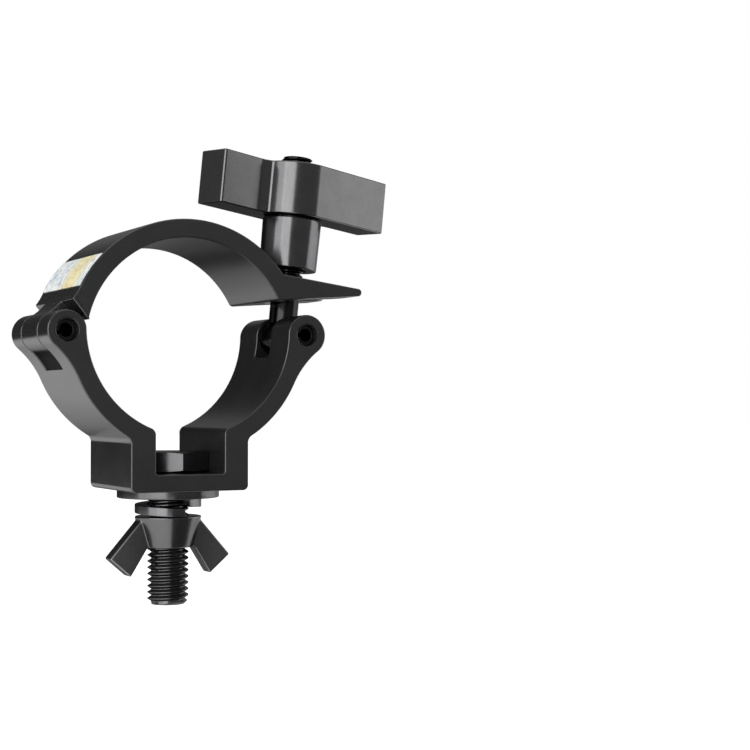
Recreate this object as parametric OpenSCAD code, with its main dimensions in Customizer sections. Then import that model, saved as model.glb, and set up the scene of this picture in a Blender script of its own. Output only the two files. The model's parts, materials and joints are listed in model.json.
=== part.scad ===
/* [Pipe] */
// Diameter of the bore that the two jaws close round
pipe_bore_d = 51; // [46:0.5:62]

/* [Jaws] */
// Width of both jaws along the pipe
jaw_w = 30; // [28:0.5:50]
// Wall thickness of the jaw arcs
jaw_t = 4.5; // [4:0.1:5.5]
// Diameter of the ears that hold the hinge pin
hinge_ear_d = 9.3; // [9:0.1:10.5]
// Diameter of the ears that hold the swing bolt's pin
bolt_ear_d = 10; // [9.6:0.1:11]
// How far the two pins lie below the centre of the bore
pin_drop = 1; // [0.5:0.1:2]
// Radius of the hollow between an ear and the outside of the lower arc
flank_fillet_r = 22; // [12:1:30]
// How far the upper jaw is turned in past concentric when it is closed, in degrees
close_angle = 7.75; // [7:0.05:8.5]

/* [Bolt block] */
// Width of the block under the lower jaw
block_w = 29.6; // [28:0.2:36]
// Distance from the bore's centre down to the underside of the block
block_drop = 38.6; // [37.5:0.1:44]
// Thickness of the floor that the bolt goes through
floor_t = 4.1; // [3:0.1:5]
// Width of the channel that holds the bolt's head
channel_w = 17.3; // [16.8:0.1:19]
// Radius of the rounded lips at the mouth of the channel
lip_r = 1.8; // [0.8:0.1:2.2]
// Radius of the block's lower edges
block_edge_r = 1.3; // [0.6:0.1:2]

/* [Hinge and pins] */
// Diameter of the spring pins
pin_d = 5; // [4:0.1:5.4]
// Wall thickness of the spring pins
pin_wall = 0.9; // [0.5:0.1:1.2]
// How far the pin ends lie inside the jaw's faces
pin_recess = 1.1; // [0.3:0.1:2]
// Width of the upper jaw's knuckle
knuckle_w = 13; // [9:0.5:15]
// Depth of the hinge slot below the pins
hinge_slot_depth = 8.7; // [7:0.1:10]

/* [Swing bolt] */
// Thread diameter of the swing bolt
thread_d = 8; // [7.8:0.1:8.4]
// Diameter of the plain shank below the thread
shank_d = 7.2; // [6.4:0.1:7.6]
// Outside diameter of the bolt's eye
eye_d = 9; // [8.4:0.1:9.8]
// Width of the eye along its pin
eye_w = 8; // [7:0.1:8.4]
// Length from the pin to the start of the thread
shank_l = 12.5; // [10:0.5:15]
// Length from the pin to the end of the bolt
swing_bolt_l = 46; // [44.5:0.1:50]
// Lean of the closed bolt away from the bore, in degrees
bolt_lean = 5.7; // [4.5:0.1:6.5]
// Depth of the bolt's slot below its pin
bolt_slot_depth = 5.2; // [4.9:0.1:7]

/* [Tail] */
// Height of the tail's flat top above the bore's centre, before the jaw closes
tail_top = 20.9; // [20:0.1:22]
// Distance from the bore's centre to the tip of the tail
tail_reach = 43.5; // [42:0.5:50]
// Slope of the tail's underside, in degrees
tail_slope = 12; // [11:0.2:13]
// Thickness of the rounded tip
tip_t = 1.9; // [1.6:0.1:2.4]
// Rounding of the finger corners at the slot's open end
finger_r = 3; // [1:0.5:4]

/* [Handle] */
// Distance from the swing bolt's pin to the bottom of the sleeve
sleeve_start = 17.3; // [17:0.1:19]
// Diameter of the sleeve under the handle
sleeve_d = 15; // [13:0.5:16]
// Taper of the sleeve's diameter towards its bottom
sleeve_taper = 0.5; // [0:0.1:1]
// Length of the sleeve
sleeve_l = 13.1; // [11:0.1:14]
// Height of the handle bar
bar_h = 13.3; // [10:0.1:14]
// Length of the handle bar from end to end
bar_l = 48.2; // [44:0.2:70]
// Thickness of each arm, and half the width of the middle boss
arm_t = 9.15; // [8:0.05:10]
// Radius of the hollows between the boss and the arms
boss_hollow_r = 5; // [4.5:0.1:6]
// Distance from the bolt's axis at which a hollow starts
boss_hollow_start = 12.2; // [11.6:0.1:12.6]
// Rounding of the upright edges at the arm ends
arm_edge_r = 0.6; // [0.2:0.1:1.5]
// Turn of the handle about the bolt at rest, in degrees
bar_turn = 18.2; // [0:1:40]

/* [Mounting bolt] */
// Thread diameter of the mounting bolt
mount_bolt_d = 10; // [9.8:0.1:10.2]
// Length of the mounting bolt under its head
mount_bolt_l = 32; // [31:0.5:50]
// Distance across the flats of the bolt's head
hex_af = 17; // [15.4:0.1:17]
// Height of the bolt's head
hex_h = 5.1; // [4:0.1:6.5]

/* [Wing nut and washers] */
// Diameter of the flat washer
flat_washer_d = 24.8; // [20:0.2:28]
// Thickness of the flat washer
flat_washer_t = 2; // [1.2:0.1:2.5]
// Outside diameter of the spring washer
spring_washer_d = 16.2; // [15:0.1:18]
// Thickness of the spring washer's wire
spring_wire_t = 2.1; // [1.6:0.1:2.5]
// Free height of the spring washer
spring_free_h = 4.5; // [3.5:0.1:5.5]
// Diameter of the wing nut's seat
nut_seat_d = 16.3; // [15:0.1:18]
// Diameter of the wing nut's small end
nut_end_d = 12; // [11.6:0.1:13]
// Height of the wing nut's hub
nut_h = 7.6; // [7:0.1:9]
// Thickness of the wings
wing_t = 4.4; // [3:0.1:5]
// Length of a wing along its slope
wing_l = 12; // [10:0.2:16]
// Width of a wing across its slope
wing_w = 6.9; // [5:0.1:8]
// Slope of the wings below the level, in degrees
wing_slope = 49; // [45:1:60]

/* [Label] */
// Thickness of the label on the upper jaw
label_t = 0.15; // [0.1:0.05:0.3]
// Length of the label along the arc
label_l = 9.3; // [6:0.1:11]
// Distance along the arc from the jaw's end to the label
label_gap = 3.4; // [2.8:0.1:4]

/* [Clearances] */
// Radial clearance of a part that turns or slides on another
running_gap = 0.05; // [0.02:0.01:0.08]
// Clearance on each side of a part that swings in a slot
side_gap = 0.3; // [0.2:0.05:0.5]
// Radial clearance of a washer or hole round its bolt
bolt_gap = 0.25; // [0.2:0.05:0.5]
// Clearance between the end of the upper jaw and the ear beside it
end_gap = 0.9; // [0.3:0.05:1.2]

/* [Hidden] */
$fn = 96;
eps = 0.01;

bore_r = pipe_bore_d / 2;
outer_r = bore_r + jaw_t;
hinge_ear_r = hinge_ear_d / 2;
bolt_ear_r = bolt_ear_d / 2;
pin_r = pin_d / 2;
// An ear lies outside the bore and only just reaches into it
ear_bite = 0.05;
function reach(ear_r) = bore_r + ear_r - ear_bite;
function pin_x(ear_r) = sqrt(reach(ear_r) * reach(ear_r) - pin_drop * pin_drop);
function pin_angle(ear_r) = asin(pin_drop / reach(ear_r));
hinge_x = -pin_x(hinge_ear_r);
bolt_x = pin_x(bolt_ear_r);
far = 2 * (outer_r + bolt_ear_d);
// Lines from the bore's centre through the two pins
hinge_line = far * [-cos(pin_angle(hinge_ear_r)), -sin(pin_angle(hinge_ear_r))];
bolt_line = far * [cos(pin_angle(bolt_ear_r)), -sin(pin_angle(bolt_ear_r))];
floor_z = floor_t - block_drop;
matt_black = [0.19, 0.19, 0.195];
gloss_black = [0.10, 0.10, 0.105];
handle_grey = [0.27, 0.27, 0.28];
label_white = [0.93, 0.93, 0.9];

// Carries each flat outline in x and z along the pipe, as a solid of its own
module along_pipe(w) for (i = [0:$children - 1])
    rotate([90, 0, 0]) linear_extrude(w, center = true) children(i);

// Centre of the circle of radius r that touches two circles from outside, the first of radius r1 at the
// origin and the second of radius r2 at distance d along +x; it lies below the line between them
function touching(r, r1, r2, d) =
    let (along = ((r1 + r) * (r1 + r) - (r2 + r) * (r2 + r) + d * d) / (2 * d))
    [along, -sqrt((r1 + r) * (r1 + r) - along * along)];

// The ear on the end of an arc, drawn along +x with the arc below it. Its outside runs into the arc in a
// hollow fillet of radius r: web is the corner to fill, and hollow is the circle that is then cut out,
// a hair deeper than tangent.
module ear(ear_r) translate([reach(ear_r), 0]) circle(ear_r);

module ear_web(ear_r, r) polygon([[0, 0], [reach(ear_r), 0], touching(r, outer_r, ear_r, reach(ear_r))]);

module ear_hollow(ear_r, r) translate(touching(r, outer_r, ear_r, reach(ear_r))) circle(r + eps);

module both_sides() for (side = [0, 1]) mirror([side, 0]) children();

// Turn its children to the hinge's ear and to the swing bolt's ear
module at_hinge() mirror([1, 0]) rotate(-pin_angle(hinge_ear_r)) children();

module at_bolt() rotate(-pin_angle(bolt_ear_r)) children();

// Half ring below the lines through the pins
module lower_arc() intersection() {
    circle(outer_r);
    polygon([[0, 0], hinge_line, [-far, -far], [far, -far], bolt_line]);
}

// A box with rounded lower edges, whose top lies inside the arc
module block_outline() {
    half = block_w / 2 - block_edge_r;
    h = block_drop - bore_r + jaw_t / 2;
    translate([-half, -block_drop]) square([2 * half, h]);
    translate([-block_w / 2, block_edge_r - block_drop]) square([block_w, h - block_edge_r]);
    for (x = [-half, half]) translate([x, block_edge_r - block_drop]) circle(block_edge_r);
}

// Hollow fillet where the arc's outside runs into the side of the block
block_fillet_r = 2;
block_fillet_x = block_w / 2 + block_fillet_r;
block_reach = outer_r + block_fillet_r;
block_fillet_z = -sqrt(block_reach * block_reach - block_fillet_x * block_fillet_x);
module block_web() polygon([[0, 0], [block_fillet_x, block_fillet_z], [0, block_fillet_z]]);
module block_hollow() translate([block_fillet_x, block_fillet_z]) circle(block_fillet_r + eps);

// What is cut off to round the lip between the bore and the side of the channel
module lip_cut() {
    x = channel_w / 2 + lip_r;
    c = [x, -sqrt((bore_r + lip_r) * (bore_r + lip_r) - x * x)];
    touch = c * bore_r / (bore_r + lip_r);
    difference() {
        polygon([[0, 0], touch, c, [channel_w / 2, c.y], [0, c.y]]);
        translate(c) circle(lip_r + eps);
    }
}

module channel_outline() {
    r = 0.6;
    half = channel_w / 2 - r;
    translate([-half, floor_z]) square([2 * half, -floor_z]);
    translate([-channel_w / 2, floor_z + r]) square([channel_w, -floor_z - r]);
    for (x = [-half, half]) translate([x, floor_z + r]) circle(r);
}

module lower_body() difference() {
    along_pipe(jaw_w) {
        lower_arc();
        block_outline();
        at_hinge() ear(hinge_ear_r);
        at_hinge() ear_web(hinge_ear_r, flank_fillet_r);
        at_bolt() ear(bolt_ear_r);
        at_bolt() ear_web(bolt_ear_r, flank_fillet_r);
        both_sides() block_web();
    }
    along_pipe(jaw_w + 1) {
        circle(bore_r);
        channel_outline();
        at_hinge() ear_hollow(hinge_ear_r, flank_fillet_r);
        at_bolt() ear_hollow(bolt_ear_r, flank_fillet_r);
        both_sides() block_hollow();
        both_sides() lip_cut();
    }
}

// Drilled pin hole across the whole width, with a small chamfer at each mouth
module pin_hole(r) {
    chamfer = 0.25;
    rotate([90, 0, 0]) cylinder(r = r, h = jaw_w + 1, center = true);
    for (side = [0, 1]) mirror([0, side, 0]) translate([0, jaw_w / 2 - chamfer, 0]) rotate([-90, 0, 0])
        cylinder(r1 = r, r2 = r + 2 * chamfer, h = 2 * chamfer);
}

module lower_jaw() color(matt_black) difference() {
    lower_body();
    for (x = [hinge_x, bolt_x]) translate([x, 0, -pin_drop]) pin_hole(pin_r);
    // Slot for the upper jaw's knuckle, and slot for the swing bolt
    slot(-1, knuckle_w / 2 + side_gap, hinge_slot_depth);
    slot(1, eye_w / 2 + side_gap, bolt_slot_depth);
    translate([0, 0, -block_drop - 1]) cylinder(r = mount_bolt_d / 2 + bolt_gap, h = floor_t + 2);
}

// Slot through an ear and the wall below it; side is -1 at the hinge and 1 at the swing bolt
module slot(side, half_w, depth) {
    x0 = side < 0 ? -far : bore_r / 2;
    translate([x0, -half_w, -pin_drop - depth]) cube([far - bore_r / 2, 2 * half_w, far]);
}

// The upper jaw is drawn concentric with the bore and then turned in about its hinge
module closed() translate([hinge_x, 0, -pin_drop]) rotate([0, close_angle, 0])
    translate([-hinge_x, 0, pin_drop]) children();

// The tail is a wedge with a flat top. Its underside slopes up to a rounded tip.
tip_r = tip_t / 2;
tip = [tail_reach - tip_r, tail_top - tip_r];
slope_dir = [cos(tail_slope), sin(tail_slope)];
slope_up = [-sin(tail_slope), cos(tail_slope)];
under = tip - tip_r * slope_up;
// Point of the underside's line that lies inside the bore
root = under - (under.x - bore_r / 2) / slope_dir.x * slope_dir;

module tail_outline() {
    polygon([root, under, tip, [tip.x, tail_top], [root.x, tail_top]]);
    translate(tip) circle(tip_r);
    // Hollow fillet between the arc and the top of the tail
    r = 1;
    c = [sqrt((outer_r + r) * (outer_r + r) - (tail_top + r) * (tail_top + r)), tail_top + r];
    difference() {
        polygon([[0, 0], [c.x, tail_top - eps], c]);
        translate(c) circle(r);
    }
}

// What is cut off to round the corner between the bore and the tail's underside
module root_cut() {
    r = 1.2;
    rise = under * slope_up + r;
    c = rise * slope_up + sqrt((bore_r + r) * (bore_r + r) - rise * rise) * slope_dir;
    difference() {
        polygon([[0, 0], c, c - r * slope_up]);
        translate(c) circle(r + eps);
    }
}

// Arc from the line through the hinge over the top to a line inside the tail
tail_angle = asin(tip.y / outer_r);
module upper_arc() intersection() {
    circle(outer_r);
    polygon([[0, 0], hinge_line, [-far, far], [far, far], far * [cos(tail_angle), sin(tail_angle)]]);
}

module upper_profile() difference() {
    union() {
        upper_arc();
        tail_outline();
    }
    circle(bore_r);
    root_cut();
}

// Region taken from both sides of the knuckle, so that the end of the arc clears the lower jaw's ears.
// Its corner lies at shoulder_angle round the hinge pin, and its upper face leans back at face_angle.
shoulder_angle = 35;
face_angle = 137;
module end_relief() {
    run = 3 * jaw_t;
    corner = [hinge_x, -pin_drop] + (hinge_ear_r + end_gap) * [cos(shoulder_angle), sin(shoulder_angle)];
    face = corner + run * [cos(face_angle), sin(face_angle)];
    polygon([corner, face, [-far, corner.y + run], [-far, -far], [0, -far], [0, corner.y]]);
}

module at_knuckle() rotate(180 + pin_angle(hinge_ear_r)) children();

// End of the upper jaw, which flares out from the arc and goes round the hinge pin
module hinge_end(w) {
    fillet_r = 14;
    top_angle = 30;
    difference() {
        along_pipe(w) {
            intersection() {
                circle(outer_r);
                polygon([[0, 0], hinge_line, [-far, far * tan(top_angle)]]);
            }
            at_knuckle() ear(hinge_ear_r);
            at_knuckle() ear_web(hinge_ear_r, fillet_r);
        }
        along_pipe(jaw_w + 1) {
            circle(bore_r);
            at_knuckle() ear_hollow(hinge_ear_r, fillet_r);
        }
    }
}

// The full width stops short of the lower jaw's ears, and only the knuckle goes on between them
module upper_jaw() color(matt_black) closed() difference() {
    union() {
        along_pipe(jaw_w) difference() {
            upper_profile();
            end_relief();
        }
        difference() {
            hinge_end(jaw_w);
            along_pipe(jaw_w + 1) end_relief();
        }
        hinge_end(knuckle_w);
    }
    translate([hinge_x, 0, -pin_drop]) rotate([90, 0, 0])
        cylinder(r = pin_r + running_gap, h = jaw_w, center = true);
    tail_slot();
}

// Open-ended slot that the swing bolt drops into. It is a little wider than the thread, and its round
// end lies a little short of the bolt.
slot_half = thread_d / 2 + 0.7;
slot_x = bolt_x - 1;
module tail_slot() translate([0, 0, bore_r / 2]) linear_extrude(bore_r) {
    translate([slot_x, 0]) circle(slot_half);
    translate([slot_x, -slot_half]) square([far, 2 * slot_half]);
    for (side = [0, 1]) mirror([0, side]) difference() {
        translate([tail_reach - finger_r, 0]) square([finger_r + 1, slot_half + finger_r]);
        translate([tail_reach - finger_r, slot_half + finger_r]) circle(finger_r);
    }
}

// Printed label wrapped over the outside of the upper arc, the full width of the jaw
module label() color(label_white) closed() {
    arc_end = 168;
    margin = 0.3;
    first = arc_end - label_gap / outer_r * 180 / PI;
    sweep = label_l / outer_r * 180 / PI;
    along_pipe(jaw_w - 2 * margin) difference() {
        intersection() {
            circle(outer_r + label_t);
            polygon([[0, 0], far * [cos(first), sin(first)], far * [cos(first - sweep), sin(first - sweep)]]);
        }
        circle(outer_r);
    }
}

// Rolled spring pin, slit along its whole length
module spring_pin(turn) {
    slit = 0.9;
    rotate([90, 0, 0]) rotate(turn) difference() {
        cylinder(r = pin_r, h = jaw_w - 2 * pin_recess, center = true);
        cylinder(r = pin_r - pin_wall, h = jaw_w, center = true);
        translate([0, -slit / 2, -jaw_w / 2]) cube([pin_d, slit, jaw_w]);
    }
}

module hinge_pin() color(gloss_black) translate([hinge_x, 0, -pin_drop]) spring_pin(200);

module pivot_pin() color(gloss_black) translate([bolt_x, 0, -pin_drop]) spring_pin(180);

// Frame of the swing bolt: its pin at the origin and its thread along +z
module on_bolt() translate([bolt_x, 0, -pin_drop]) rotate([0, bolt_lean, 0]) children();

module swing_bolt() color(gloss_black) on_bolt() {
    thread_r = thread_d / 2;
    step = thread_r - shank_d / 2;
    end_chamfer = 0.4;
    difference() {
        union() {
            rotate([90, 0, 0]) cylinder(r = eye_d / 2, h = eye_w, center = true);
            cylinder(r = shank_d / 2, h = shank_l);
            translate([0, 0, shank_l - step]) cylinder(r1 = shank_d / 2, r2 = thread_r, h = step);
            translate([0, 0, shank_l]) cylinder(r = thread_r, h = swing_bolt_l - end_chamfer - shank_l);
            translate([0, 0, swing_bolt_l - end_chamfer])
                cylinder(r1 = thread_r, r2 = thread_r - end_chamfer, h = end_chamfer);
        }
        rotate([90, 0, 0]) cylinder(r = pin_r + running_gap, h = eye_w + 1, center = true);
    }
}

// Sleeve nut: a tapered sleeve with a slimmer neck that carries the handle bar
bar_start = sleeve_start + sleeve_l;
neck_d = 12;
module handle_hub() color(gloss_black) on_bolt() difference() {
    edge = 0.25;
    mouth = 0.8;
    union() {
        translate([0, 0, sleeve_start])
            cylinder(r1 = (sleeve_d - sleeve_taper) / 2, r2 = sleeve_d / 2, h = sleeve_l - 2 * edge);
        translate([0, 0, bar_start - 2 * edge])
            cylinder(r1 = sleeve_d / 2, r2 = sleeve_d / 2 - edge, h = edge);
        translate([0, 0, sleeve_start]) cylinder(d = neck_d, h = sleeve_l + bar_h);
        translate([0, 0, sleeve_start]) cylinder(r = sleeve_d / 2 - 2 * edge, h = sleeve_l - side_gap / 2);
    }
    translate([0, 0, sleeve_start - 1]) cylinder(r = thread_d / 2 + running_gap, h = sleeve_l + bar_h + 2);
    // Countersink at the mouth of the thread
    translate([0, 0, sleeve_start - eps])
        cylinder(r1 = thread_d / 2 + mouth, r2 = thread_d / 2 + running_gap, h = mouth);
}

// One arm of the handle, with its inner face through the bolt's axis
module arm_outline() {
    x = bar_l / 2 - arm_edge_r;
    translate([0, -arm_t]) square([x, arm_t]);
    translate([x - eps, arm_edge_r - arm_t]) square([arm_edge_r + eps, arm_t - 2 * arm_edge_r]);
    for (y = [-arm_edge_r, arm_edge_r - arm_t]) translate([x, y]) circle(arm_edge_r);
}

// Hollow that leads from the inner face of an arm to the side of the round boss
module boss_hollow() {
    c = [-boss_hollow_start, -boss_hollow_r];
    difference() {
        polygon([[0, 0], [c.x, 0], c]);
        translate(c) circle(boss_hollow_r);
    }
}

module handle_bar() color(handle_grey) on_bolt() translate([0, 0, bar_start]) rotate([0, 0, bar_turn])
    difference() {
        linear_extrude(bar_h) {
            circle(arm_t);
            for (half_turn = [0, 180]) rotate(half_turn) {
                arm_outline();
                boss_hollow();
            }
        }
        translate([0, 0, -1]) cylinder(r = neck_d / 2 + running_gap, h = bar_h + 2);
    }

// Hexagon bolt that hangs head up in the channel
module mount_bolt() color(gloss_black) {
    end_chamfer = 1;
    edge = 0.5;
    r = mount_bolt_d / 2;
    corner_r = hex_af / sqrt(3);
    // The head's flats lie along the channel, and it is chamfered all round above and below
    translate([0, 0, floor_z]) intersection() {
        rotate([0, 0, 30]) cylinder(r = corner_r, h = hex_h, $fn = 6);
        cylinder(r1 = corner_r + 2 * hex_h, r2 = hex_af / 2 - edge, h = hex_h);
        cylinder(r1 = hex_af / 2 - edge, r2 = hex_af / 2 - edge + hex_h, h = hex_h);
    }
    translate([0, 0, floor_z - mount_bolt_l + end_chamfer])
        cylinder(r = r, h = mount_bolt_l - end_chamfer + eps);
    translate([0, 0, floor_z - mount_bolt_l]) cylinder(r1 = r - end_chamfer, r2 = r, h = end_chamfer);
}

washer_z = -block_drop - flat_washer_t;
nut_z = washer_z - spring_free_h;

module flat_washer() color(gloss_black) translate([0, 0, washer_z]) difference() {
    cylinder(d = flat_washer_d, h = flat_washer_t);
    translate([0, 0, -1]) cylinder(r = mount_bolt_d / 2 + bolt_gap, h = flat_washer_t + 2);
}

// Split spring washer: one turn of square wire that drops by its free height less its thickness
module spring_washer() color(gloss_black) {
    steps = 40;
    gap_angle = 10;
    start = 285;
    ri = mount_bolt_d / 2 + bolt_gap;
    ro = spring_washer_d / 2;
    drop = spring_free_h - spring_wire_t;
    corners = [[ri, 0], [ro, 0], [ro, -spring_wire_t], [ri, -spring_wire_t]];
    angles = [for (i = [0:steps]) start + gap_angle / 2 + (360 - gap_angle) * i / steps];
    points = [for (i = [0:steps]) for (c = corners)
        [c.x * cos(angles[i]), c.x * sin(angles[i]), washer_z + c.y - drop * i / steps]];
    sides = [for (i = [0:4:4 * steps - 4]) for (k = [0:3])
        [i + k, i + k + 4, i + (k + 1) % 4 + 4, i + (k + 1) % 4]];
    ends = [[0, 1, 2, 3], [for (k = [3:-1:0]) 4 * steps + k]];
    polyhedron(points, concat(sides, ends));
}

// Wing nut with its seat up and its wings sloping down and out
module wing_nut() color(gloss_black) translate([0, 0, nut_z]) difference() {
    union() {
        translate([0, 0, -nut_h]) cylinder(d1 = nut_end_d, d2 = nut_seat_d, h = nut_h);
        for (half_turn = [0, 180]) rotate([0, 0, half_turn]) wing();
    }
    translate([0, 0, -far]) cylinder(r = mount_bolt_d / 2 + running_gap, h = far + 1);
}

module wing() {
    // The wing starts just inside the hub, a little below its seat
    corner = [nut_seat_d / 2 - 0.6, -0.8];
    down = [cos(wing_slope), -sin(wing_slope)];
    across = [-sin(wing_slope), -cos(wing_slope)];
    along_pipe(wing_t) polygon([corner, corner + wing_l * down, corner + wing_l * down + wing_w * across,
        [nut_end_d / 2, -nut_h], [mount_bolt_d / 2, -nut_h], [mount_bolt_d / 2, corner.y]]);
}

lower_jaw();
upper_jaw();
label();
hinge_pin();
pivot_pin();
swing_bolt();
handle_hub();
handle_bar();
mount_bolt();
flat_washer();
spring_washer();
wing_nut();
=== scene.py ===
import json
from math import cos, inf, pi, radians, sin, tan

import bmesh
import bpy
from mathutils import Matrix, Vector


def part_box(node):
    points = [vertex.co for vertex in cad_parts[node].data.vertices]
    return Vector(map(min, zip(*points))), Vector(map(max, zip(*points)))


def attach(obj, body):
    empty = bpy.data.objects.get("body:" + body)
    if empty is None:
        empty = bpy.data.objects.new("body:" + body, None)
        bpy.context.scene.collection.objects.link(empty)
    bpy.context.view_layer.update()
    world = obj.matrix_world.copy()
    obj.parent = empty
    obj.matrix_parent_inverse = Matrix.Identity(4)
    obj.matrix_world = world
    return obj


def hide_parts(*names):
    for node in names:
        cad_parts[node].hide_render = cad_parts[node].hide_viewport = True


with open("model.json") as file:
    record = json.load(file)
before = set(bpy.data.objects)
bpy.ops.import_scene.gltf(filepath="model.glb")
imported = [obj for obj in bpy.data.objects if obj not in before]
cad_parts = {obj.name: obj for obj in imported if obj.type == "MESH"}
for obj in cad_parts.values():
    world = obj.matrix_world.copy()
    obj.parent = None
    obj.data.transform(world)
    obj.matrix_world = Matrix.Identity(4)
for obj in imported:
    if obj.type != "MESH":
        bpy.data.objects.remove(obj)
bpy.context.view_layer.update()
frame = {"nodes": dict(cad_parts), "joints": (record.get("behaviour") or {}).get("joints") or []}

MM = 0.001
WHITE = (1, 1, 1, 1)
BLACK = (0, 0, 0, 1)

scene = bpy.context.scene
nodes = frame["nodes"]
joints = {j["name"]: j for j in frame["joints"]}


def along(axis, origin):
    """Frame with its z axis along axis and its y axis along the pipe."""
    z = Vector(axis).normalized()
    y = Vector((0, 1, 0))
    x = y.cross(z).normalized()
    rotation = Matrix((x, y, z)).transposed().to_4x4()
    return Matrix.Translation(origin) @ rotation


# The swing bolt's own frame: its pin at the origin and its thread along +z
bolt_place = along(joints["handle_turn"]["axis"], joints["bolt_swing"]["pos_m"])


def add_object(name, data):
    obj = bpy.data.objects.new(name, data)
    scene.collection.objects.link(obj)
    return obj


# ---------------------------------------------------------------- materials

# Depth of a bump of strength 1
BUMP_DEPTH = 0.03 * MM
# Tint of dark metal seen at a low angle, so that its faces don't flare white
LOW_ANGLE_TINT = (0.5, 0.5, 0.5, 1)


class Wiring:
    """A node tree, and short calls that add nodes to it. A value is a number, a colour or a socket."""

    def __init__(self, tree):
        self.tree = tree

    def put(self, socket, value):
        if isinstance(value, bpy.types.NodeSocket):
            self.tree.links.new(value, socket)
        else:
            socket.default_value = value

    def node(self, kind, **inputs):
        """Node with inputs set by name. An underscore in a name stands for a space."""
        made = self.tree.nodes.new(kind)
        for socket, value in inputs.items():
            self.put(made.inputs[socket.replace("_", " ")], value)
        return made

    def math(self, operation, *values):
        made = self.tree.nodes.new("ShaderNodeMath")
        made.operation = operation
        for socket, value in zip(made.inputs, values):
            self.put(socket, value)
        return made.outputs[0]

    def mix(self, factor, a, b):
        """Colour a where factor is 0 and b where it is 1."""
        made = self.tree.nodes.new("ShaderNodeMix")
        made.data_type = "RGBA"
        self.put(made.inputs[0], factor)
        self.put(made.inputs[6], a)
        self.put(made.inputs[7], b)
        return made.outputs[2]

    def ramp(self, value, *stops):
        """Colour ramp over value. Each stop is (position, grey or colour)."""
        made = self.node("ShaderNodeValToRGB", Fac=value)
        elements = made.color_ramp.elements
        for _ in stops[2:]:
            elements.new(0.5)
        for element, (position, colour) in zip(elements, stops):
            element.position = position
            shade = colour if isinstance(colour, tuple) else (colour,) * 3
            element.color = (*shade, 1)
        return made.outputs["Color"]

    def vary(self, noise, low, high):
        """From low to high, greys or colours, over the middle part of a noise's range."""
        return self.ramp(noise, (0.3, low), (0.7, high))

    def seen_or_not(self, seen, otherwise):
        """One number for camera, glossy and transmission rays, and another for all other rays."""
        ray = self.node("ShaderNodeLightPath").outputs
        either = self.math("MAXIMUM", ray["Is Camera Ray"], ray["Is Glossy Ray"])
        share = self.math("MAXIMUM", either, ray["Is Transmission Ray"])
        made = self.node("ShaderNodeMapRange", Value=share, To_Min=otherwise, To_Max=seen)
        return made.outputs[0]


class Shader(Wiring):
    """A material with a Principled BSDF, whose sockets are given by name as in Wiring.node."""

    def __init__(self, name, **sockets):
        self.material = bpy.data.materials.new(name)
        self.material.use_nodes = True
        super().__init__(self.material.node_tree)
        self.bsdf = self.tree.nodes["Principled BSDF"]
        # In metres, as all objects sit at the origin
        self.place = self.node("ShaderNodeTexCoord").outputs["Object"]
        self.set(**sockets)

    def set(self, **sockets):
        for socket, value in sockets.items():
            self.put(self.bsdf.inputs[socket.replace("_", " ")], value)

    def noise(self, per_m, detail):
        """Noise that varies about per_m times along a metre."""
        made = self.node("ShaderNodeTexNoise", Vector=self.place, Scale=per_m, Detail=detail)
        return made.outputs["Fac"]

    def bump(self, height, strength):
        made = self.node("ShaderNodeBump", Height=height, Strength=strength, Distance=BUMP_DEPTH)
        self.set(Normal=made.outputs["Normal"])


def black_paint():
    """Satin black coat with a faint texture and slightly uneven gloss."""
    s = Shader("black_paint", Specular_IOR_Level=0.8)
    patches = s.noise(160, detail=4)
    grain = s.noise(2400, detail=2)
    s.set(Base_Color=s.vary(patches, (0.0100, 0.0100, 0.0104), (0.0130, 0.0130, 0.0134)),
          Roughness=s.vary(patches, 0.20, 0.23))
    s.bump(grain, 0.02)
    return s.material


def black_plating(name, tone, gloss, metallic=1.0):
    """Black plating on steel. Its colour varies a little round tone, and its roughness round gloss."""
    s = Shader(name, Metallic=metallic, Specular_Tint=LOW_ANGLE_TINT)
    patches = s.noise(220, detail=3)
    grain = s.noise(3000, detail=2)
    low, high = 0.9 * tone, 1.1 * tone
    s.set(Base_Color=s.vary(patches, (low, low, 1.03 * low), (high, high, 1.03 * high)),
          Roughness=s.vary(patches, gloss - 0.02, gloss + 0.02))
    s.bump(grain, 0.04)
    return s.material


# The cone that parts the wing nut's hub from its wings: its radius if it went on up to z = 0, and how
# much that grows with height. It is a little slimmer than the solid's hub, because a wing is thick
# and its two sides meet the round hub at a smaller x than its middle does.
HUB_RADIUS = 20.0 * MM
HUB_TAPER = 0.27
# How far the wings reach past that cone
WING_REACH = 7.0 * MM


def wing_cast():
    """Black plating on a cast wing nut. Its wings are rougher than its hub, and their colour carries
    painted shading: darker by the hub and paler towards their tips.
    """
    s = Shader("wing_cast", Metallic=1.0, Specular_Tint=LOW_ANGLE_TINT)
    patches = s.noise(220, detail=3)
    grain = s.noise(1500, detail=3)
    x, _, z = s.node("ShaderNodeSeparateXYZ", Vector=s.place).outputs
    hub = s.math("MULTIPLY_ADD", z, HUB_TAPER, HUB_RADIUS)
    past_hub = s.math("SUBTRACT", s.math("ABSOLUTE", x), hub)
    on_wing = s.math("GREATER_THAN", past_hub, 0.0)
    # Painted shading: the wings' colour runs from darker by the hub to paler at their tips, standing in
    # for how the light falls on them
    painted_tip_shading = s.ramp(s.math("DIVIDE", past_hub, WING_REACH), (0.0, 0.13), (1.0, 0.19))
    wing = s.math("MULTIPLY", painted_tip_shading, s.vary(grain, 0.92, 1.08))
    hub_roughness, wing_roughness = 0.24, 0.32
    s.set(Base_Color=s.mix(on_wing, s.vary(patches, 0.105, 0.130), wing),
          Roughness=s.math("MULTIPLY_ADD", on_wing, wing_roughness - hub_roughness, hub_roughness))
    s.bump(grain, 0.04)
    return s.material


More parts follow.
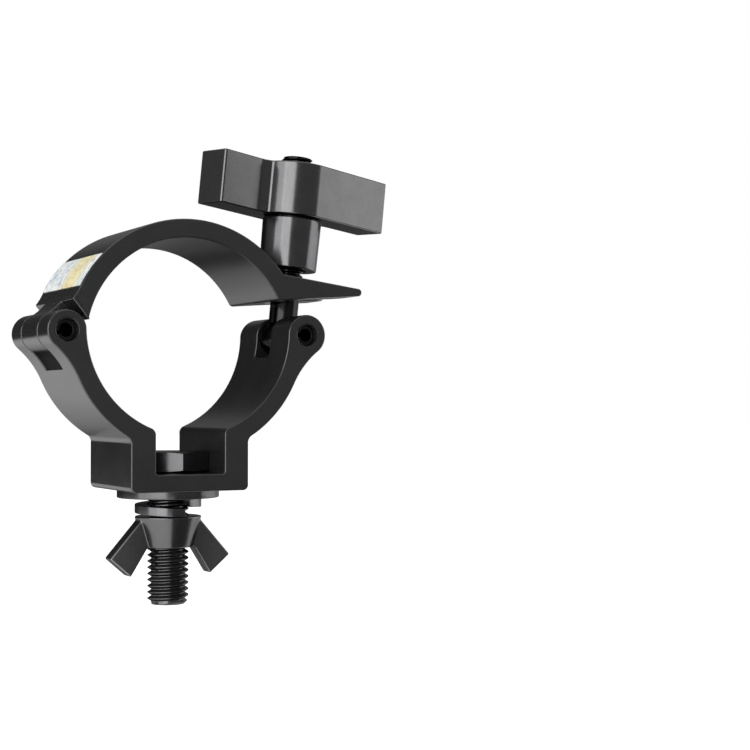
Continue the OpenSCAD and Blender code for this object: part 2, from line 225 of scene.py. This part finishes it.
def handle_cast():
    """Glossy dark cast metal with a fine grain."""
    s = Shader("handle_cast", Metallic=1.0, Specular_Tint=LOW_ANGLE_TINT)
    grain = s.noise(4200, detail=3)
    patches = s.noise(240, detail=3)
    speckle = s.ramp(grain, (0.35, (0.085, 0.085, 0.087)), (0.65, (0.140, 0.140, 0.142)))
    broad = s.vary(patches, (0.100, 0.100, 0.102), (0.125, 0.125, 0.127))
    s.set(Base_Color=s.mix(0.5, speckle, broad), Roughness=s.vary(grain, 0.16, 0.24))
    s.bump(grain, 0.06)
    return s.material


def label_film():
    """White film with pale blue clouds, a pale gold patch on its near half and fine grey flecks."""
    s = Shader("label_film", Roughness=0.4)
    clouds = s.noise(420, detail=5)
    blue = s.ramp(clouds, (0.45, (0.93, 0.94, 0.93)), (0.66, (0.52, 0.66, 0.76)))
    gold = s.ramp(clouds, (0.42, (0.86, 0.74, 0.38)), (0.66, (0.94, 0.88, 0.62)))
    # Share of the way from the jaw's near face, at 0, to its far face
    y = s.node("ShaderNodeSeparateXYZ", Vector=s.place).outputs["Y"]
    across = s.math("MULTIPLY_ADD", y, 33.0, 0.5)
    gilt = s.ramp(across, (0.06, 0.0), (0.22, 1.0), (0.42, 1.0), (0.60, 0.0))
    flecks = s.ramp(s.noise(800, detail=1), (0.56, 0.0), (0.66, 0.6))
    grey = (0.36, 0.38, 0.38, 1)
    s.set(Base_Color=s.mix(flecks, s.mix(gilt, blue, gold), grey))
    return s.material


paint = black_paint()
plating = black_plating("black_plating", tone=0.11, gloss=0.19)
bolt_plating = black_plating("bolt_plating", tone=0.085, gloss=0.19, metallic=0.9)
dark_plating = black_plating("dark_plating", tone=0.028, gloss=0.17)
nut_plating = wing_cast()
cast = handle_cast()
film = label_film()


# ---------------------------------------------------------------- CAD nodes

# In a CAD node's mesh, points closer than this are one
WELD_DISTANCE = 0.01 * MM
# Facets that lean less than this on each other are one face, and an edge sharper than this is rounded
FLAT_ANGLE = radians(1)
EDGE_ANGLE = radians(28)


def smoothing():
    """Geometry nodes that shade every face smooth and clear the sharp marks of its edges."""
    tree = bpy.data.node_groups.new("shade_smooth", "GeometryNodeTree")
    tree.interface.new_socket("Geometry", in_out="INPUT", socket_type="NodeSocketGeometry")
    tree.interface.new_socket("Geometry", in_out="OUTPUT", socket_type="NodeSocketGeometry")
    last = tree.nodes.new("NodeGroupInput").outputs[0]
    for domain in ("FACE", "EDGE"):
        smooth = tree.nodes.new("GeometryNodeSetShadeSmooth")
        smooth.domain = domain
        tree.links.new(last, smooth.inputs["Geometry"])
        last = smooth.outputs["Geometry"]
    tree.links.new(last, tree.nodes.new("NodeGroupOutput").inputs[0])
    return tree


smooth_tree = smoothing()


def dress(name, material, bevel):
    """Gives a CAD node its material and rounds its edges by bevel mm."""
    obj = nodes[name]
    obj.data.materials.clear()
    obj.data.materials.append(material)
    weld = obj.modifiers.new("weld", "WELD")
    weld.merge_threshold = WELD_DISTANCE
    flat = obj.modifiers.new("flat", "DECIMATE")
    flat.decimate_type = "DISSOLVE"
    flat.angle_limit = FLAT_ANGLE
    obj.modifiers.new("smooth", "NODES").node_group = smooth_tree
    edges = obj.modifiers.new("edges", "BEVEL")
    edges.width = bevel * MM
    edges.segments = 3
    edges.limit_method = "ANGLE"
    edges.angle_limit = EDGE_ANGLE
    edges.use_clamp_overlap = False
    edges.miter_outer = "MITER_ARC"
    normals = obj.modifiers.new("normals", "WEIGHTED_NORMAL")
    normals.weight = 60


dress("lower_jaw", paint, 0.35)
dress("upper_jaw", paint, 0.35)
dress("handle_bar", cast, 0.35)
dress("handle_hub", plating, 0.25)
dress("wing_nut", nut_plating, 0.40)
dress("flat_washer", bolt_plating, 0.25)
dress("spring_washer", plating, 0.15)
dress("hinge_pin", dark_plating, 0.10)
dress("pivot_pin", dark_plating, 0.10)
dress("label", film, 0.03)


# -------------------------------------------------------------------- bolts

# Lengths are in mm up to add_points, which turns them into metres. A ring is a list of points.

# Points round a hexagon, the eye and a thread
HEXAGON_STEPS = 96
EYE_STEPS = 64
THREAD_STEPS = 40
# A new piece's points closer than this are one, and its edges sharper than this stay sharp
DOUBLE_DISTANCE = 0.002 * MM
SHARP_ANGLE = radians(35)
# Depth of a V thread as a share of its pitch
THREAD_DEPTH = 0.6134
# Its profile: height up one turn as a share of the pitch, and depth there as a share of the thread's
THREAD_PROFILE = ((0.0, 0.0), (0.125, 0.0), (0.51, 1.0), (0.615, 1.0))


def new_piece(name, body, material, node):
    """Starts a mesh piece that rides on a body and stands for a CAD node. Fill it with finish_piece."""
    mesh = bpy.data.meshes.new(name)
    obj = add_object(name, mesh)
    mesh.materials.append(material)
    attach(obj, body)
    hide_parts(node)
    return obj


def finish_piece(obj, bm):
    """Merges doubled points, writes the mesh and shades it smooth between its sharp edges."""
    bmesh.ops.remove_doubles(bm, verts=bm.verts, dist=DOUBLE_DISTANCE)
    bmesh.ops.recalc_face_normals(bm, faces=bm.faces)
    bm.to_mesh(obj.data)
    bm.free()
    obj.data.shade_smooth()
    obj.data.set_sharp_from_angle(angle=SHARP_ANGLE)


def circle(r, z, steps=48):
    """Ring of radius r at height z."""
    angles = [2 * pi * i / steps for i in range(steps)]
    return [(r * cos(angle), r * sin(angle), z) for angle in angles]


def hexagon(across_flats, z_of_r, limit=inf):
    """Ring round a hexagon whose flats face along x, or round a circle where limit is smaller."""
    ring = []
    for i in range(HEXAGON_STEPS):
        angle = 2 * pi * i / HEXAGON_STEPS
        off_flat = (angle + pi / 6) % (pi / 3) - pi / 6
        r = min(across_flats / 2 / cos(off_flat), limit)
        ring.append((r * cos(angle), r * sin(angle), z_of_r(r)))
    return ring


def add_points(bm, points, place):
    """Adds points to a mesh, moved by the frame place."""
    return [bm.verts.new(place @ (Vector(point) * MM)) for point in points]


def skin(bm, low, high):
    """Joins two rings of as many points each with quads."""
    count = len(low)
    for i in range(count):
        k = (i + 1) % count
        bm.faces.new((low[i], low[k], high[k], high[i]))


def add_rod(bm, rings, place):
    """Skins rings of as many points each, and caps both ends."""
    made = [add_points(bm, ring, place) for ring in rings]
    for low, high in zip(made, made[1:]):
        skin(bm, low, high)
    bm.faces.new(reversed(made[0]))
    bm.faces.new(made[-1])


def add_thread(bm, place, radius, pitch, start, end, chamfer):
    """Rod from z = start to z = end with a right-hand V thread, and a chamfer and a cap at its end."""
    depth = THREAD_DEPTH * pitch
    # The turns go on past both ends, with their points held back to them
    rows = []
    for turn in range(-1, int((end - start) / pitch) + 2):
        for share, cut in THREAD_PROFILE:
            ring = []
            for i in range(THREAD_STEPS):
                angle = 2 * pi * i / THREAD_STEPS
                z = min(max(start + pitch * (turn + share + i / THREAD_STEPS), start), end)
                r = min(radius - depth * cut, radius - chamfer + (end - z))
                if z == start:
                    r = radius - depth
                ring.append((r * cos(angle), r * sin(angle), z))
            rows.append(add_points(bm, ring, place))
    # A row's last point joins the first point of the row that is one turn up
    per_turn = len(THREAD_PROFILE)
    for row, (low, high) in enumerate(zip(rows, rows[1:])):
        low_next, high_next = low[1:], high[1:]
        if row + 1 + per_turn < len(rows):
            low_next.append(rows[row + per_turn][0])
            high_next.append(rows[row + 1 + per_turn][0])
        for corners in zip(low, low_next, high_next, high):
            bm.faces.new(corners)
    bm.faces.new(add_points(bm, circle(radius - chamfer, end, THREAD_STEPS), place))


def mounting_bolt():
    """Hexagon bolt with chamfers above and below its head and a thread to its end."""
    low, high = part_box("mount_bolt")
    end, top = low.z / MM, high.z / MM
    across_flats = (high.x - low.x) / MM
    head_h, thread_r, pitch, end_chamfer = 5.1, 5.0, 1.5, 1.0
    under = top - head_h
    # The head's corners slope away from a round flat on its top. Under it is a round washer face.
    flat_r = across_flats / 2 - 0.35
    slope = tan(radians(14))
    face_r = flat_r - 0.2
    face_h = 0.3
    # Size of a ring inside the flat, as a share of it
    inner = 0.3
    flat = hexagon(across_flats, lambda r: top, limit=flat_r)
    obj = new_piece("mounting_bolt", "base", bolt_plating, "mount_bolt")
    bm = bmesh.new()
    add_rod(bm, [
        hexagon(across_flats, lambda r: under, limit=face_r),
        hexagon(across_flats, lambda r: under + face_h + (r - flat_r) * slope),
        hexagon(across_flats, lambda r: top - (r - flat_r) * slope),
        flat,
        [(inner * x, inner * y, z) for x, y, z in flat],
    ], Matrix.Identity(4))
    # The thread runs down from just inside the head
    down = Matrix.Rotation(pi, 4, "X")
    add_thread(bm, down, thread_r, pitch, -under - face_h, -end, end_chamfer)
    finish_piece(obj, bm)


def eye_bolt():
    """Swing bolt: an eye round the pin, a plain shank and a thread to its end."""
    obj = new_piece("eye_bolt", "bolt", dark_plating, "swing_bolt")
    bm = bmesh.new()

    # The eye's section, as radius and place along the pin: a chamfered hole, and a rim whose rounding
    # comes within bulge of its corner
    hole_r, eye_r, half_w = 2.56, 4.5, 4.0
    chamfer, rounding, bulge = 0.1, 0.4, 0.12
    section = [(hole_r, -half_w + chamfer), (hole_r + chamfer, -half_w), (eye_r - rounding, -half_w),
               (eye_r - bulge, -half_w + bulge), (eye_r, -half_w + rounding)]
    section += [(r, -z) for r, z in reversed(section)]
    along_pin = bolt_place @ Matrix.Rotation(pi / 2, 4, "X")
    rings = [add_points(bm, circle(r, z, EYE_STEPS), along_pin) for r, z in section]
    for low, high in zip(rings, rings[1:] + rings[:1]):
        skin(bm, low, high)

    # The shank starts in the eye's metal, clear of its hole, and ends just inside the thread
    thread_r, pitch, end_chamfer = 4.0, 1.25, 0.4
    shank_r, shank_start, thread_start, reach = 3.6, 2.9, 12.1, 46.0
    add_rod(bm, [
        circle(shank_r - 0.6, shank_start), circle(shank_r, shank_start + 0.4),
        circle(shank_r, thread_start), circle(shank_r - 0.3, thread_start + 0.4),
    ], bolt_place)
    add_thread(bm, bolt_place, thread_r, pitch, thread_start, reach, end_chamfer)
    finish_piece(obj, bm)


mounting_bolt()
eye_bolt()


# ------------------------------------------------------------------- studio

# A bearing is in degrees round the object: 0 in front and 90 at the swing bolt's side.

# The floor is clear below the clamp, which stands on nothing in the photograph
FLOOR_Z = -0.11
FLOOR_HALF = 4.0

# Dark cards, as for a glossy black thing on white. Each row is a bearing, then the strengths there of
# the upright card at its foot and above it, and then that of the card on the floor, or None where the
# floor is left white.
CARDS = (
    (-215, 0.15, 0.15, 0.15), (-196, 0.15, 0.15, 0.12), (-190, 0.10, 0.14, 0.04),
    (-186, 0.06, 0.07, 0.08), (-181, 0.04, 0.05, 0.40), (-172, 0.04, 0.04, 0.60),
    (-167, 0.04, 0.04, 1.00), (-162, 0.04, 0.04, 1.10), (-153, 0.04, 0.05, 0.50),
    (-145, 0.06, 0.10, 0.50), (-135, 0.07, 0.20, None), (-117, 0.10, 0.33, None),
    (-98, 0.12, 0.33, None), (-30, 0.20, 0.20, None), (-20, 0.27, 0.27, None),
    (-12, 0.27, 0.27, None), (-6, 0.27, 0.27, 0.12), (52, 0.27, 0.27, 0.12),
    (54, 0.12, 0.12, 0.12), (75, 0.12, 0.12, 0.12), (80, 0.12, 0.12, None),
    (145, 0.12, 0.12, None),
)
# The card on the floor: its inner radius, and its height over the floor
CARD_HOLE = 0.02
CARD_LIFT = 0.001
# The upright card: its radius, where its foot ends, where it starts to grow paler, its top, and how
# much stronger it is there
CARD_RADIUS = 0.85
CARD_FOOT = 0.02
CARD_FADE = 0.4
CARD_TOP = 0.75
CARD_PALER = 0.25

# Softboxes: name, bearing, width and radiance
SOFTBOXES = (
    ("left", -74, 0.42, 2.6),
    ("front_left", -41, 0.44, 3.55),
    ("right", 86, 0.70, 2.05),
    ("back_right", 127, 0.34, 0.85),
)
# The height of each, its distance from the origin, and how far it is raised, in degrees
SOFTBOX_HEIGHT = 0.5
SOFTBOX_DISTANCE = 0.7
SOFTBOX_RISE = 8

# Camera, fitted to the photograph's outline. It looks from CAMERA_BEARING, and upwards by CAMERA_RISE.
CAMERA_PLACE = (-0.1373, -0.3582, -0.01784)
CAMERA_BEARING = -28.54
CAMERA_RISE = 1.06
SENSOR_WIDTH = 36.0
FOCAL_LENGTH = 74.66


def towards(bearing, rise=0):
    """Direction from the object towards a bearing, raised by rise degrees."""
    bearing, rise = radians(bearing), radians(rise)
    return Vector((sin(bearing) * cos(rise), -cos(bearing) * cos(rise), sin(rise)))


def white_floor():
    """Pale floor. It glows where it is seen, so that it comes out white, but its glow lights nothing."""
    mesh = bpy.data.meshes.new("floor")
    sides = ((-1, -1), (1, -1), (1, 1), (-1, 1))
    corners = [(x * FLOOR_HALF, y * FLOOR_HALF, FLOOR_Z) for x, y in sides]
    mesh.from_pydata(corners, [], [(0, 1, 2, 3)])
    obj = add_object("floor", mesh)
    s = Shader("floor", Roughness=0.9, Specular_IOR_Level=0.1, Emission_Color=WHITE)
    s.set(Base_Color=s.vary(s.noise(3, detail=2), 0.86, 0.90),
          Emission_Strength=s.seen_or_not(0.72, otherwise=0.0))
    mesh.materials.append(s.material)


def white_world():
    """World that is white where it is seen, and lights the object at half that strength."""
    world = bpy.data.worlds.new("world")
    scene.world = world
    world.use_nodes = True
    wiring = Wiring(world.node_tree)
    background = world.node_tree.nodes["Background"].inputs
    background["Color"].default_value = WHITE
    wiring.put(background["Strength"], wiring.seen_or_not(1.0, otherwise=0.5))


def card_at(bearing):
    """Strengths at a bearing, straight between the rows of CARDS, and whether the floor is covered."""
    row = max(i for i, values in enumerate(CARDS) if values[0] <= bearing)
    low = CARDS[row]
    high = CARDS[min(row + 1, len(CARDS) - 1)]
    share = (bearing - low[0]) / max(1, high[0] - low[0])
    covered = low[3] is not None and high[3] is not None
    foot, above, level = [(a or 0) + ((b or 0) - (a or 0)) * share for a, b in zip(low[1:], high[1:])]
    return foot, above, level, covered


def dark_cards():
    """Cards all round the object that show only in reflections."""
    verts, faces, strengths = [], [], []
    start = CARDS[0][0]
    for bearing in range(start, start + 361):
        foot, above, level, covered = card_at(bearing)
        # Radius, height and strength: two points of the card on the floor and four of the upright one
        profile = (
            (CARD_HOLE, FLOOR_Z + CARD_LIFT, level), (CARD_RADIUS, FLOOR_Z + CARD_LIFT, level),
            (CARD_RADIUS, FLOOR_Z, foot), (CARD_RADIUS, CARD_FOOT, above),
            (CARD_RADIUS, CARD_FADE, above), (CARD_RADIUS, CARD_TOP, above + CARD_PALER),
        )
        away = towards(bearing)
        for r, z, strength in profile:
            verts.append((r * away.x, r * away.y, z))
            strengths.append(strength)
        if bearing > start:
            now = len(verts) - len(profile)
            before = now - len(profile)
            pairs = ([(0, 1)] if covered else []) + [(2, 3), (3, 4), (4, 5)]
            faces += [(before + i, before + k, now + k, now + i) for i, k in pairs]
    mesh = bpy.data.meshes.new("dark_cards")
    mesh.from_pydata(verts, [], faces)
    layer = mesh.attributes.new("strength", "FLOAT", "POINT")
    for item, strength in zip(layer.data, strengths):
        item.value = strength
    obj = add_object("dark_cards", mesh)
    s = Shader("dark_cards", Roughness=1.0, Specular_IOR_Level=0.0)
    s.set(Base_Color=BLACK, Emission_Color=WHITE)
    attribute = s.node("ShaderNodeAttribute")
    attribute.attribute_name = "strength"
    s.set(Emission_Strength=attribute.outputs["Fac"])
    mesh.materials.append(s.material)
    obj.visible_camera = obj.visible_diffuse = obj.visible_shadow = obj.visible_transmission = False


def softbox(name, bearing, width, radiance):
    """Area lamp that faces the object from a bearing."""
    lamp = bpy.data.lights.new(name, "AREA")
    lamp.shape = "RECTANGLE"
    lamp.size, lamp.size_y = width, SOFTBOX_HEIGHT
    lamp.energy = radiance * pi * width * SOFTBOX_HEIGHT
    obj = add_object(name, lamp)
    away = towards(bearing, SOFTBOX_RISE)
    obj.location = away * SOFTBOX_DISTANCE
    obj.rotation_euler = away.to_track_quat("Z", "Y").to_euler()
    obj.visible_camera = False


def camera():
    lens = bpy.data.cameras.new("camera")
    lens.sensor_width = SENSOR_WIDTH
    lens.lens = FOCAL_LENGTH
    lens.clip_start = 0.01
    obj = add_object("camera", lens)
    obj.location = CAMERA_PLACE
    behind = towards(CAMERA_BEARING, -CAMERA_RISE)
    obj.rotation_euler = behind.to_track_quat("Z", "Y").to_euler()
    scene.camera = obj


white_floor()
white_world()
dark_cards()
for row in SOFTBOXES:
    softbox(*row)
camera()
scene.view_settings.view_transform = "Standard"
